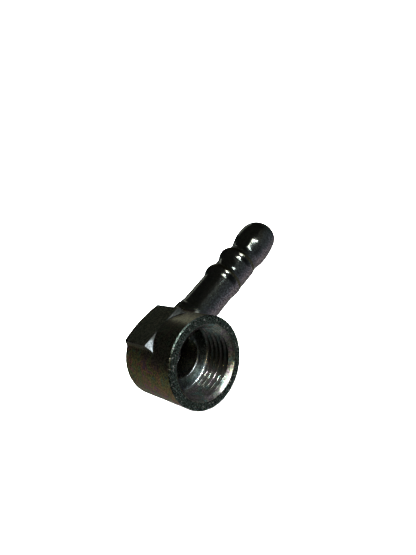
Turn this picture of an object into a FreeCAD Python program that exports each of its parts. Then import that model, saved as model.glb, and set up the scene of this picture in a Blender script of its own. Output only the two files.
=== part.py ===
import FreeCAD, Part
import os
from math import atan2, hypot, sqrt

import Sketcher
from FreeCAD import Vector

# Gas elbow fitting: one forged and machined piece of plated steel.
# A round cup with a female pipe thread lies along Y with its mouth at y = 0, facing -Y.
# A block with two wrench flats stands out of the back of the cup, above and below.
# A barbed hose tail leaves the closed, domed back at a right angle, along +X.
# Millimetres, +Z up, origin at the centre of the mouth.

NODE = "elbow_body"

# Driving sizes: name, value and what it measures
SIZES = [
    ("cup_dia", 25.98, "outside diameter of the cup"),
    ("cup_length", 20.2, "mouth to the edge where the side meets the domed back"),
    ("rim_chamfer", 0.3, "chamfer round the outside of the mouth"),
    ("dome_radius", 26.0, "radius of the domed back"),
    ("back_chamfer", 0.3, "chamfer of the edge between side and dome"),
    ("block_width", 14.8, "width of the wrench block along X"),
    ("across_flats", 26.0, "distance between the two wrench flats"),
    ("flat_start", 9.35, "mouth to the front end of the flats"),
    ("flat_stock", 0.5, "forged height above each flat that the milling takes off"),
    ("runout_length", 3.0, "length of the slope in front of each flat, mostly inside the cup"),
    ("runout_angle", 50.0, "slope in front of each flat, in degrees"),
    ("block_round", 0.35, "rounding of the long edges of the flats"),
    ("sink_dia", 21.2, "diameter of the countersink at the mouth"),
    ("sink_angle", 90.0, "included angle of the countersink, in degrees"),
    ("thread_minor", 18.631, "core diameter of the G 1/2 thread"),
    ("thread_end", 9.9, "mouth to the end of the threaded length"),
    ("relief_dia", 21.0, "diameter of the relief behind the thread"),
    ("relief_corner", 0.5, "chamfer between relief and seat"),
    ("seat_depth", 11.6, "mouth to the flat seat for the gasket"),
    ("chamber_dia", 13.5, "diameter of the drilled chamber behind the seat"),
    ("drill_angle", 118.0, "point angle of the chamber's drill, in degrees"),
    ("tail_depth", 19.5, "mouth to the axis of the hose tail"),
    ("tail_reach", 60.5, "axis of the cup to the tip of the tail's round nose"),
    ("tail_bore", 7.0, "bore of the hose tail"),
    ("shaft_dia", 11.9, "plain diameter of the tail"),
    ("root_dia", 13.2, "forged diameter of the tail's root and of the knee behind the cup"),
    ("root_end", 15.0, "axis of the cup to the end of the forged root"),
    ("root_taper", 2.0, "length of the step from the root down to the shaft"),
    ("root_fillet", 1.2, "fillet between the tail's root and the cup"),
    ("ring_dia", 13.45, "diameter over the two rounded rings"),
    ("ring_width", 5.2, "width of a ring where it meets the shaft"),
    ("ring_from_tip", 20.1, "tip to the middle of the ring nearer the tip"),
    ("ring_pitch", 8.5, "distance between the rings"),
    ("ring_count", 2, "number of rings"),
    ("bulb_dia", 13.5, "diameter of the rounded end"),
    ("bulb_length", 15.8, "tip to the start of the bulb"),
    ("bulb_straight", 2.6, "straight length of the bulb behind its round nose"),
    ("lip_sink", 0.5, "width of the 45 degree chamfer at the bore's lip"),
]

# Heights that several sketches share, as expressions on the sheet
DOME_CENTRE = "(sizes.cup_length - sqrt(sizes.dome_radius ^ 2 - (sizes.cup_dia / 2) ^ 2))"
DOME_TOP = DOME_CENTRE + " + sizes.dome_radius"
FLAT = "sizes.across_flats / 2"

# Rounding of the flats' long edges, no more than half of the step down to the cup
FLAT_STEP = "(%s - sqrt((sizes.cup_dia / 2) ^ 2 - (sizes.block_width / 2) ^ 2))" % FLAT
FLAT_ROUND = "min(sizes.block_round; %s / 2)" % FLAT_STEP


# Spreadsheet with one row for each driving size
def make_sheet(doc):
    sheet = doc.addObject("Spreadsheet::Sheet", "sizes")
    for row, (name, value, meaning) in enumerate(SIZES, start=1):
        sheet.set("A%d" % row, name)
        sheet.set("B%d" % row, str(value))
        sheet.set("C%d" % row, meaning)
        sheet.setAlias("B%d" % row, name)
    doc.recompute()
    return sheet


# Origin plane or axis of a body, found by its role
def origin_feature(body, role):
    return next(item for item in body.Origin.OriginFeatures if item.Role == role)


# Sketch on one of the body's origin planes, moved along its own vertical axis if asked
def add_sketch(body, name, role, rise=None):
    sketch = body.newObject("Sketcher::SketchObject", name)
    sketch.AttachmentSupport = [(origin_feature(body, role), "")]
    sketch.MapMode = "FlatFace"
    if rise:
        sketch.setExpression("AttachmentOffset.Base.y", rise)
    body.Document.recompute()
    return sketch


# Value of an expression on the sheet
def value_of(sketch, expression):
    value = sketch.evalExpression(expression)
    return float(getattr(value, "Value", value))


# Centre of the arc that leaves the chord to its left (side 1) or right (side -1)
def arc_centre(start, end, radius, side):
    chord = end - start
    half = chord.Length / 2
    normal = Vector(-chord.y, chord.x, 0).normalize()
    return (start + end) / 2 - normal * side * sqrt(max(radius ** 2 - half ** 2, 0))


# One edge of an outline: a line, or an arc through start and end with the given bulge side
def edge_between(start, end, bend):
    if bend is None:
        return Part.LineSegment(start, end)
    radius, side = bend
    centre = arc_centre(start, end, radius, side)
    ends = (end, start) if side > 0 else (start, end)
    turns = [atan2(point.y - centre.y, point.x - centre.x) for point in ends]
    return Part.ArcOfCircle(Part.Circle(centre, Vector(0, 0, 1), radius), turns[0], turns[1])


# Closed outline whose corners are pairs of expressions.
# A corner may add the radius and the bulge side of the arc that leads to the next corner.
def add_outline(sketch, corners):
    points = [Vector(value_of(sketch, c[0]), value_of(sketch, c[1]), 0) for c in corners]
    count = len(corners)
    first = sketch.GeometryCount
    swapped = []
    for index, corner in enumerate(corners):
        start = points[index]
        end = points[(index + 1) % count]
        bend = None
        if len(corner) > 2:
            bend = (value_of(sketch, corner[2]), corner[3])
        edge = edge_between(start, end, bend)
        sketch.addGeometry(edge, False)
        swapped.append(edge.StartPoint.distanceToPoint(start) > 1e-6)
    for index, corner in enumerate(corners):
        this_edge = first + index
        next_edge = first + (index + 1) % count
        end_point = 1 if swapped[index] else 2
        start_point = 2 if swapped[(index + 1) % count] else 1
        sketch.addConstraint(
            Sketcher.Constraint("Coincident", this_edge, end_point, next_edge, start_point))
    for index, corner in enumerate(corners):
        own_start = 2 if swapped[index] else 1
        place_point(sketch, first + index, own_start, points[index], corner)
        if len(corner) > 2:
            radius = Sketcher.Constraint("Radius", first + index, value_of(sketch, corner[2]))
            sketch.setExpression("Constraints[%d]" % sketch.addConstraint(radius), corner[2])
    return sketch


# Dimensions from the origin to one point, bound to its expressions
def place_point(sketch, edge, point, place, corner):
    for kind, axis, amount, text in (("DistanceX", -2, place.x, corner[0]),
                                     ("DistanceY", -1, place.y, corner[1])):
        if text == "0":
            sketch.addConstraint(Sketcher.Constraint("PointOnObject", edge, point, axis))
        else:
            span = Sketcher.Constraint(kind, -1, 1, edge, point, amount)
            sketch.setExpression("Constraints[%d]" % sketch.addConstraint(span), text)


# Solid of revolution, added or cut, about the sketch's horizontal or vertical axis
def revolve(body, kind, name, sketch, axis):
    feature = body.newObject("PartDesign::" + kind, name)
    feature.Profile = sketch
    feature.ReferenceAxis = (sketch, [axis])
    feature.Angle = 360
    sketch.Visibility = False
    body.Document.recompute()
    return feature


# Fillet on the edges that the test picks from the body's present shape
def round_edges(body, name, radius, is_wanted):
    base = body.Tip
    edges = base.Shape.Edges
    names = ["Edge%d" % (index + 1) for index, edge in enumerate(edges)
             if not edge.Degenerated and is_wanted(edge)]
    if not names:
        raise RuntimeError("no edge found for " + name)
    fillet = body.newObject("PartDesign::Fillet", name)
    fillet.Base = (base, names)
    fillet.setExpression("Radius", radius)
    body.Document.recompute()
    return fillet


# Points spread along an edge
def samples(edge, count=7):
    return edge.discretize(count)


# Cup: a round blank, as long as the top of the dome, with the mouth's outer chamfer and a back
# end that is coned off, so that the domed cut leaves a chamfer between the side and the dome
def add_cup(body):
    sketch = add_sketch(body, "cup_outline", "XY_Plane")
    radius = "(sizes.cup_dia / 2)"
    cone_start = "(sizes.cup_length - sizes.back_chamfer)"
    inward = "sqrt(sizes.dome_radius ^ 2 - %s ^ 2) / (sizes.dome_radius + %s)" % (radius, radius)
    add_outline(sketch, [
        ("0", "0"),
        (radius + " - sizes.rim_chamfer", "0"),
        (radius, "sizes.rim_chamfer"),
        (radius, cone_start),
        ("%s - (%s - %s) * %s" % (radius, DOME_TOP, cone_start, inward), DOME_TOP),
        ("0", DOME_TOP),
    ])
    return revolve(body, "Revolution", "cup_blank", sketch, "V_Axis")


# Wrench block: its side view pushed out to both sides, with a slope in front of each flat
def add_block(body):
    sketch = add_sketch(body, "block_outline", "YZ_Plane")
    slope = "tan(sizes.runout_angle * 1 deg)"
    foot = "sizes.flat_start - sizes.runout_length"
    foot_height = "(%s - sizes.runout_length * %s)" % (FLAT, slope)
    stock = "sizes.flat_start + sizes.flat_stock / " + slope
    stock_height = "(%s + sizes.flat_stock)" % FLAT
    add_outline(sketch, [
        (foot, "-" + foot_height),
        (stock, "-" + stock_height),
        (DOME_TOP, "-" + stock_height),
        (DOME_TOP, stock_height),
        (stock, stock_height),
        (foot, foot_height),
    ])
    block = body.newObject("PartDesign::Pad", "wrench_block")
    block.Profile = sketch
    block.SideType = "Symmetric"
    block.setExpression("Length", "sizes.block_width")
    sketch.Visibility = False
    body.Document.recompute()
    return block


# Wrench flats: both faces milled down to their distance, as far as the flats reach
def cut_flats(body):
    sketch = add_sketch(body, "flats_outline", "YZ_Plane")
    far = FLAT + " + sizes.cup_dia"
    for sign in ("", "-"):
        near_side = "%s(%s)" % (sign, FLAT)
        far_side = "%s(%s)" % (sign, far)
        add_outline(sketch, [
            ("sizes.flat_start", near_side),
            (DOME_TOP, near_side),
            (DOME_TOP, far_side),
            ("sizes.flat_start", far_side),
        ])
    cut = body.newObject("PartDesign::Pocket", "wrench_flats")
    cut.Profile = sketch
    cut.SideType = "Symmetric"
    cut.setExpression("Length", "2 * sizes.cup_dia")
    sketch.Visibility = False
    body.Document.recompute()
    return cut


# Domed back: one round cut over the cup and the block, so their back edges match
def cut_dome(body):
    sketch = add_sketch(body, "dome_outline", "XY_Plane")
    reach = "(sizes.cup_dia / 2 + sizes.block_width / 4)"
    edge_height = DOME_CENTRE + " + sqrt(sizes.dome_radius ^ 2 - %s ^ 2)" % reach
    above = DOME_TOP + " + sizes.cup_dia / 2"
    add_outline(sketch, [
        ("0", DOME_TOP, "sizes.dome_radius", 1),
        (reach, edge_height),
        (reach, above),
        ("0", above),
    ])
    return revolve(body, "Groove", "domed_back", sketch, "V_Axis")


# Hose tail: knee, forged root, plain shaft and bulb turned about the tail's own axis
def add_tail(body):
    sketch = add_sketch(body, "tail_outline", "XY_Plane", rise="sizes.tail_depth")
    root = "sizes.root_dia / 2"
    shaft = "sizes.shaft_dia / 2"
    bulb = "sizes.bulb_dia / 2"
    nose_start = "sizes.tail_reach - sizes.bulb_dia / 2"
    peak = "(%s - sizes.bulb_straight)" % nose_start
    neck = "(sizes.tail_reach - sizes.bulb_length)"
    rise = "(sizes.bulb_dia - sizes.shaft_dia) / 2"
    swell = "((%s - %s) ^ 2 + (%s) ^ 2) / (2 * %s)" % (peak, neck, rise, rise)
    add_outline(sketch, [
        ("-" + root, "0", root, 1),
        ("0", root),
        ("sizes.root_end", root),
        ("sizes.root_end + sizes.root_taper", shaft),
        (neck, shaft, swell, 1),
        (peak, bulb),
        (nose_start, bulb, bulb, 1),
        ("sizes.tail_reach", "0"),
    ])
    return revolve(body, "Revolution", "hose_tail", sketch, "H_Axis")


# Rings: one rounded ring turned on the shaft, repeated towards the root
def add_rings(body):
    sketch = add_sketch(body, "ring_outline", "XY_Plane", rise="sizes.tail_depth")
    middle = "(sizes.tail_reach - sizes.ring_from_tip)"
    half = "sizes.ring_width / 2"
    shaft = "sizes.shaft_dia / 2"
    height = "((sizes.ring_dia - sizes.shaft_dia) / 2)"
    arc = "((%s) ^ 2 + %s ^ 2) / (2 * %s)" % (half, height, height)
    inside = "(sizes.tail_bore + sizes.shaft_dia) / 4"
    add_outline(sketch, [
        ("%s - %s" % (middle, half), inside),
        ("%s - %s" % (middle, half), shaft, arc, 1),
        ("%s + %s" % (middle, half), shaft),
        ("%s + %s" % (middle, half), inside),
    ])
    ring = revolve(body, "Revolution", "ring", sketch, "H_Axis")
    pattern = body.newObject("PartDesign::LinearPattern", "rings")
    pattern.Originals = [ring]
    pattern.Direction = (origin_feature(body, "X_Axis"), [""])
    pattern.Reversed = True
    pattern.setExpression("Length", "sizes.ring_pitch * (sizes.ring_count - 1)")
    pattern.setExpression("Occurrences", "sizes.ring_count")
    body.Tip = pattern
    body.Document.recompute()
    return pattern


# Socket: countersink, thread core, relief and flat seat in one turned cut
def cut_socket(body):
    sketch = add_sketch(body, "socket_outline", "XY_Plane")
    sink = "sizes.sink_dia / 2"
    core = "sizes.thread_minor / 2"
    sink_depth = "(sizes.sink_dia - sizes.thread_minor) / 2 / tan(sizes.sink_angle / 2 * 1 deg)"
    relief = "sizes.relief_dia / 2"
    relief_start = "sizes.thread_end + (sizes.relief_dia - sizes.thread_minor) / 2"
    add_outline(sketch, [
        ("0", "0"),
        (sink, "0"),
        (core, sink_depth),
        (core, "sizes.thread_end"),
        (relief, relief_start),
        (relief, "sizes.seat_depth - sizes.relief_corner"),
        (relief + " - sizes.relief_corner", "sizes.seat_depth"),
        ("0", "sizes.seat_depth"),
    ])
    return revolve(body, "Groove", "socket", sketch, "V_Axis")


# Chamber: drilled from the seat to the axis of the tail, with the drill's cone at its end
def cut_chamber(body):
    sketch = add_sketch(body, "chamber_outline", "XY_Plane")
    radius = "sizes.chamber_dia / 2"
    cone = "sizes.chamber_dia / 2 / tan(sizes.drill_angle / 2 * 1 deg)"
    add_outline(sketch, [
        ("0", "sizes.seat_depth"),
        (radius, "sizes.seat_depth"),
        (radius, "sizes.tail_depth"),
        ("0", "sizes.tail_depth + " + cone),
    ])
    return revolve(body, "Groove", "chamber", sketch, "V_Axis")


# Bore of the tail: from the chamber out through the tip, with a chamfered lip in the round nose
def cut_bore(body):
    sketch = add_sketch(body, "bore_outline", "XY_Plane", rise="sizes.tail_depth")
    bore = "sizes.tail_bore / 2"
    lip = "(sizes.tail_bore / 2 + sizes.lip_sink)"
    nose = "(sizes.bulb_dia / 2)"
    lip_end = "(sizes.tail_reach - %s + sqrt(%s ^ 2 - %s ^ 2))" % (nose, nose, lip)
    add_outline(sketch, [
        ("0", "0"),
        ("0", bore),
        (lip_end + " - sizes.lip_sink", bore),
        (lip_end + " + " + nose, "%s + %s" % (lip, nose)),
        (lip_end + " + " + nose, "0"),
    ])
    return revolve(body, "Groove", "bore", sketch, "H_Axis")


# Tests that tell by its place whether an edge is to be rounded
def edge_tests(sheet):
    cup = sheet.cup_dia / 2
    root = sheet.root_dia / 2
    flat = sheet.across_flats / 2
    side = sheet.block_width / 2
    near = 1e-3

    def is_flat_side(edge):
        return all(abs(abs(p.z) - flat) < near and abs(abs(p.x) - side) < near
                   for p in samples(edge))

    def is_root_edge(edge):
        points = samples(edge)
        on_root = all(abs(hypot(p.y - sheet.tail_depth, p.z) - root) < near or p.x < near
                      for p in points)
        on_knee = all(p.x > near or abs(hypot(p.x, p.y - sheet.tail_depth, p.z) - root) < near
                      for p in points)
        outside = all(p.x < cup + near and p.y > sheet.tail_depth - root - near for p in points)
        at_end = all(abs(p.x - sheet.root_end) < near for p in points)
        seam = edge.Curve.TypeId == "Part::GeomLine" or all(abs(p.x) < near for p in points)
        return on_root and on_knee and outside and not at_end and not seam

    return is_flat_side, is_root_edge


# The fitting's one body, in the order in which it is forged and machined
def make_elbow(doc, sheet):
    body = doc.addObject("PartDesign::Body", NODE)
    body.Label = NODE
    is_flat_side, is_root_edge = edge_tests(sheet)
    add_cup(body)
    add_block(body)
    cut_flats(body)
    round_edges(body, "flat_sides", FLAT_ROUND, is_flat_side)
    cut_dome(body)
    add_tail(body)
    round_edges(body, "root_blend", "sizes.root_fillet", is_root_edge)
    add_rings(body)
    cut_socket(body)
    cut_chamber(body)
    cut_bore(body)
    body.Placement = FreeCAD.Placement()
    return body


# Stops if an object has failed, if a cut or an addition changed nothing or if the shape is unsound
def check(doc, body):
    for item in doc.Objects:
        if "Invalid" in item.State or "Error" in item.State:
            raise RuntimeError("%s failed: %s" % (item.Name, item.State))
    volume = 0.0
    for feature in body.Group:
        if not feature.isDerivedFrom("PartDesign::Feature"):
            continue
        if abs(feature.Shape.Volume - volume) < 1e-6:
            raise RuntimeError(feature.Name + " changes nothing")
        volume = feature.Shape.Volume
    shape = body.Shape
    if shape.isNull() or not shape.isValid() or len(shape.Solids) != 1:
        raise RuntimeError(body.Label + " isn't one sound solid")


def main():
    doc = FreeCAD.newDocument("gas_elbow")
    sheet = make_sheet(doc)
    body = make_elbow(doc, sheet)
    doc.recompute()
    check(doc, body)
    os.makedirs("parts", exist_ok=True)
    body.Shape.exportStep("parts/%s.step" % body.Label)
    box = body.Shape.optimalBoundingBox()
    print("%s: %.1f mm3, %.2f x %.2f x %.2f mm" % (body.Label, body.Shape.Volume,
                                                   box.XLength, box.YLength, box.ZLength))


main()
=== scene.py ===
import math

import bpy
from bpy.props import FloatProperty, FloatVectorProperty, PointerProperty
from mathutils import Matrix, Vector


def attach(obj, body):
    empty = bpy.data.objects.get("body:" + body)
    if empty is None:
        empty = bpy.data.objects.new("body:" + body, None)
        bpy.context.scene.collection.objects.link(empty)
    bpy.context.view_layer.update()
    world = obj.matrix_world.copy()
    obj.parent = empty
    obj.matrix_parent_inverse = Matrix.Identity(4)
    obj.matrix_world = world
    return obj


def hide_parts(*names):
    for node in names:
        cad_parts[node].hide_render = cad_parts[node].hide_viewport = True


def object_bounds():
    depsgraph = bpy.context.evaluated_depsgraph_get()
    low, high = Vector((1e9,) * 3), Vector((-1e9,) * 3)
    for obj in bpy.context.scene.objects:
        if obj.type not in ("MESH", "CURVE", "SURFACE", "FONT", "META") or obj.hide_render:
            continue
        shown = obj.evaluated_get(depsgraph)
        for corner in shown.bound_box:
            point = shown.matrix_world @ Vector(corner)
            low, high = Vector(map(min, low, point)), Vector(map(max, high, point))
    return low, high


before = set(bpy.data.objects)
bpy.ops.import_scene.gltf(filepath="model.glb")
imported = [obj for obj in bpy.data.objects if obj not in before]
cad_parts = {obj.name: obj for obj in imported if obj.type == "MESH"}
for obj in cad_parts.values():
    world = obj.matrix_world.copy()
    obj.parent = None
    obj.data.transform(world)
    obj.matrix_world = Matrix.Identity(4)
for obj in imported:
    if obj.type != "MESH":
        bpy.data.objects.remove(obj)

bl_info = {
    "name": "Gas elbow fitting",
    "version": (1, 0, 0),
    "blender": (4, 5, 0),
    "location": "View3D > Sidebar > Gas Elbow",
    "description": "Models a plated steel gas elbow with a threaded cup and a ringed hose tail",
    "category": "Add Mesh",
}

# The fitting is modelled in millimetres and brought to metres when it is finished.
# Frame: the cup's mouth is centred on the origin and faces -Y, the hose tail runs along +X.
MM = 0.001
CAD_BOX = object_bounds()
NODE = "elbow_body"

RUNOUT_ANGLE = math.radians(50.0)
RAMP_ANGLE = math.radians(20.0)
THREAD_FLANK = math.radians(27.5)
DRILL_HALF_ANGLE = math.radians(59.0)
SMOOTH_ANGLE = math.radians(24.0)

# Steps in one turn
TURN_STEPS = 192
TAIL_STEPS = 128
BORE_STEPS = 96
THREAD_STEPS = 144
STAGE_STEPS = 96

# Points nearer to each other than this become one: in millimetres, and in metres for the stage
MERGE = 1e-4
FINE_MERGE = 1e-5
STAGE_MERGE = 1e-6

# Across the tail: the side towards which the rings stand out, and the side where they are narrow
RING_SIDE = Vector((0.0, 0.51, 0.86))
RING_FRONT = Vector((0.0, -0.86, 0.51))


def length(label, text, millimetres):
    """A size that the panel shows as a length"""
    return FloatProperty(name=label, description=text, default=millimetres * MM, min=0.0,
                         precision=5, unit="LENGTH", subtype="DISTANCE")


def colour(label, text, *rgb):
    """A colour that the panel shows as a swatch"""
    return FloatVectorProperty(name=label, description=text, default=rgb, size=3,
                               min=0.0, max=1.0, subtype="COLOR")


class ElbowSizes(bpy.types.PropertyGroup):
    """Sizes of the fitting"""

    cup_diameter: length("Cup diameter", "Outside diameter of the threaded cup", 25.98)
    cup_length: length("Cup length", "Mouth to the edge of the domed back", 20.2)
    rim_chamfer: length("Rim chamfer", "Chamfer round the outside of the mouth", 0.3)
    back_chamfer: length("Back chamfer", "Chamfer between the cup's side and its domed back", 0.3)
    dome_radius: length("Dome radius", "Radius of the domed back", 26.0)
    block_width: length("Block width", "Width of the wrench block", 14.8)
    across_flats: length("Across flats", "Distance between the wrench flats", 25.6)
    flat_stock: length("Flat stock", "Forged height above each flat that is milled off", 0.5)
    flat_start: length("Flat start", "Mouth to the front end of the flats", 9.35)
    block_round: length("Block edge", "Rounding of the long edges of the flats", 0.45)
    block_foot: length("Block foot", "Fillet between the block's sides and the cup", 0.6)
    sink_diameter: length("Countersink", "Diameter of the countersink at the mouth", 21.2)
    thread_core: length("Thread core", "Diameter over the crests of the thread", 18.631)
    thread_major: length("Thread major", "Diameter over the roots of the thread", 20.955)
    thread_pitch: length("Thread pitch", "Advance of the thread in one turn", 1.814)
    thread_end: length("Thread end", "Mouth to the end of the thread", 9.9)
    relief_diameter: length("Relief", "Diameter of the relief behind the thread", 21.0)
    relief_corner: length("Relief corner", "Fillet between relief and seat", 0.5)
    seat_depth: length("Seat depth", "Mouth to the flat gasket seat", 11.6)
    chamber_diameter: length("Chamber", "Diameter of the drilled chamber", 13.5)
    chamber_lip: length("Chamber lip", "Rounding between the seat and the chamber", 0.3)
    tail_depth: length("Tail depth", "Mouth to the axis of the hose tail", 19.5)
    tail_reach: length("Tail reach", "Axis of the cup to the tip of the tail's round nose", 60.5)
    tail_bore: length("Tail bore", "Bore of the hose tail", 7.0)
    lip_sink: length("Lip chamfer", "Chamfer at the bore's lip", 0.5)
    shaft_diameter: length("Shaft", "Plain diameter of the hose tail", 11.9)
    root_diameter: length("Root", "Forged diameter of the tail's root and the knee", 13.2)
    root_fillet: length("Root fillet", "Fillet between the tail's root and the cup", 1.2)
    ring_diameter: length("Rings", "Diameter over the two rounded rings", 13.20)
    bulb_diameter: length("Bulb", "Diameter of the rounded end", 13.34)


class ElbowColours(bpy.types.PropertyGroup):
    """Colours of the plating, with painted shade and painted highlights among them, and of the floor"""

    teal: colour("Teal", "Teal patches on the cup", 0.11, 0.16, 0.19)
    olive: colour("Olive", "Olive patches on the cup", 0.18, 0.20, 0.09)
    khaki: colour("Khaki", "Main colour of the cup", 0.23, 0.20, 0.085)
    copper: colour("Copper", "Reddish patches on the cup", 0.30, 0.175, 0.10)
    purple: colour("Purple", "Purple patches on the cup", 0.20, 0.115, 0.18)
    # Painted shade: the two colours of the cup's darkened top
    top_green: colour("Top, green", "Greenish patches on the cup's dark top", 0.085, 0.095, 0.065)
    top_brown: colour("Top, brown", "Brownish patches on the cup's dark top", 0.10, 0.085, 0.065)
    # Painted highlight: the pale patch on the cup in front of the upper flat
    shoulder: colour("Shoulder", "Cup in front of the upper flat, towards the tail", 0.20, 0.20, 0.135)
    # Tail colours set by height: their hues are the plating's tints, paler below as painted reflection and
    # darker higher up as painted shade
    tail_bottom: colour("Tail, bottom", "Lowest part of the tail", 0.185, 0.16, 0.165)
    tail_low: colour("Tail, low", "Tail below its middle", 0.13, 0.125, 0.145)
    tail_middle: colour("Tail, middle", "Middle of the tail's side", 0.085, 0.10, 0.11)
    tail_high: colour("Tail, high", "Tail above its middle", 0.10, 0.12, 0.115)
    tail_top: colour("Tail, top", "Uppermost part of the tail", 0.11, 0.115, 0.095)
    # Painted shade: dark bands on the back flanks of the rings
    ring_back: colour("Behind rings", "Dark bands behind the two rings", 0.075, 0.072, 0.035)
    flat: colour("Flats", "Wrench flats", 0.055, 0.058, 0.042)
    # Painted light: a highlight on the left run-outs, and shade in the middle and on the right
    facet_left: colour("Run-out, left", "Run-outs on the side away from the tail", 0.082, 0.093, 0.096)
    facet_middle: colour("Run-out, middle", "Middle of the run-outs", 0.020, 0.022, 0.020)
    facet_right: colour("Run-out, right", "Run-outs on the tail's side", 0.008, 0.009, 0.008)
    rim_dark: colour("Rim, dark", "Dark specks of the rim", 0.014, 0.020, 0.016)
    rim_light: colour("Rim, light", "Light specks of the rim", 0.062, 0.085, 0.073)
    rim_worn: colour("Rim, worn", "Bare metal where the rim is worn", 0.40, 0.42, 0.39)
    thread_teal: colour("Thread, teal", "Teal patches in the thread", 0.13, 0.19, 0.18)
    thread_olive: colour("Thread, olive", "Main colour of the thread", 0.19, 0.20, 0.165)
    thread_mauve: colour("Thread, mauve", "Mauve patches in the thread", 0.205, 0.185, 0.20)
    seat: colour("Seat", "Relief, gasket seat and chamber", 0.33, 0.37, 0.37)
    floor: colour("Floor", "Studio floor and backdrop", 0.92, 0.92, 0.92)


def sizes_in_mm():
    """The scene's sizes as a plain dictionary in millimetres"""
    group = bpy.context.scene.elbow_sizes
    return {name: getattr(group, name) / MM for name in ElbowSizes.__annotations__}


def opaque_colours():
    """The scene's colours as a plain dictionary, each with its alpha"""
    group = bpy.context.scene.elbow_colours
    return {name: (*getattr(group, name), 1.0) for name in ElbowColours.__annotations__}


# Modelling in edit mode
def only(piece):
    """Selects one object and makes it the active one"""
    if bpy.context.object and bpy.context.object.mode != "OBJECT":
        bpy.ops.object.mode_set(mode="OBJECT")
    bpy.ops.object.select_all(action="DESELECT")
    bpy.context.view_layer.objects.active = piece
    piece.select_set(True)


def edit_all():
    """Starts edit mode with the whole mesh selected"""
    bpy.ops.object.mode_set(mode="EDIT")
    bpy.ops.mesh.select_all(action="SELECT")


def extruded_line(name, points):
    """A line of vertices, extruded point by point from one start vertex"""
    bpy.ops.object.select_all(action="DESELECT")
    bpy.ops.mesh.primitive_plane_add(size=1.0, location=(0.0, 0.0, 0.0))
    piece = bpy.context.object
    piece.name = name
    bpy.ops.object.mode_set(mode="EDIT")
    bpy.ops.mesh.select_mode(type="VERT")
    bpy.ops.mesh.select_all(action="SELECT")
    bpy.ops.mesh.merge(type="CENTER")
    bpy.ops.transform.translate(value=points[0])
    for last, point in zip(points, points[1:]):
        step = tuple(b - a for a, b in zip(last, point))
        bpy.ops.mesh.extrude_vertices_move(TRANSFORM_OT_translate={"value": step})
    bpy.ops.object.mode_set(mode="OBJECT")
    return piece


def close_up(merge=MERGE, inside=False):
    """Merges doubles and turns the faces outwards, or inwards, in edit mode"""
    bpy.ops.mesh.select_all(action="SELECT")
    bpy.ops.mesh.remove_doubles(threshold=merge)
    bpy.ops.mesh.normals_make_consistent(inside=inside)


def turned(name, profile, centre, axis, steps):
    """A solid turned from a profile whose two ends lie on the axis"""
    piece = extruded_line(name, profile)
    edit_all()
    bpy.ops.mesh.spin(steps=steps, angle=2 * math.pi, center=centre, axis=axis)
    close_up()
    bpy.ops.object.mode_set(mode="OBJECT")
    return piece


def turned_about_cup(name, profile, start=0.0):
    """Turned about the cup's axis from pairs of radius and depth, from a start angle in steps"""
    turn = 2 * math.pi * start / TURN_STEPS
    points = [(r * math.cos(turn), y, r * math.sin(turn)) for r, y in profile]
    return turned(name, points, (0.0, 0.0, 0.0), (0.0, 1.0, 0.0), TURN_STEPS)


def turned_about_tail(name, profile, depth, steps=TAIL_STEPS):
    """Turned about the tail's axis from pairs of reach and radius"""
    start = math.pi / steps
    points = [(x, depth + r * math.cos(start), r * math.sin(start)) for x, r in profile]
    return turned(name, points, (0.0, depth, 0.0), (1.0, 0.0, 0.0), steps)


def bar(name, outline, draw):
    """A closed outline, filled and drawn out by a vector"""
    piece = extruded_line(name, outline + outline[:1])
    edit_all()
    bpy.ops.mesh.remove_doubles(threshold=MERGE)
    bpy.ops.mesh.edge_face_add()
    bpy.ops.mesh.extrude_region_move(TRANSFORM_OT_translate={"value": draw})
    close_up()
    bpy.ops.object.mode_set(mode="OBJECT")
    return piece


def bar_along_cup(name, section, start, end):
    """A bar with a section in X and Z, drawn out along the cup's axis"""
    return bar(name, [(x, start, z) for x, z in section], (0.0, end - start, 0.0))


def arc(centre, radius, start, end, count):
    """Points along an arc, with angles in degrees"""
    angles = [math.radians(start + (end - start) * i / count) for i in range(count + 1)]
    return [(centre[0] + radius * math.cos(a), centre[1] + radius * math.sin(a)) for a in angles]


def combine(piece, other, operation):
    """Joins or cuts two solids and keeps the first"""
    only(piece)
    modifier = piece.modifiers.new(name="combine", type="BOOLEAN")
    modifier.operation = operation
    modifier.solver = "EXACT"
    modifier.object = other
    bpy.ops.object.modifier_apply(modifier="combine")
    bpy.data.objects.remove(other, do_unlink=True)


# Blanks and cutters
def forge_cup(sizes):
    """Round blank of the cup, a little taller than the dome that is cut from it"""
    rise = 5.0
    radius = sizes["cup_diameter"] / 2
    chamfer = sizes["back_chamfer"]
    slope = math.asin(radius / sizes["dome_radius"])
    inner = (radius - chamfer * math.cos(slope), sizes["cup_length"] + chamfer * math.sin(slope))
    middle = (radius - chamfer / 4, sizes["cup_length"] - chamfer / 4)
    top_radius = inner[0] + (inner[0] - middle[0]) * rise / (inner[1] - middle[1])
    return turned_about_cup("elbow", [
        (0.0, 0.0),
        (radius - sizes["rim_chamfer"], 0.0),
        (radius, sizes["rim_chamfer"]),
        (radius, sizes["cup_length"] - chamfer),
        middle,
        (top_radius, inner[1] + rise),
        (0.0, inner[1] + rise),
    ])


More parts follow.
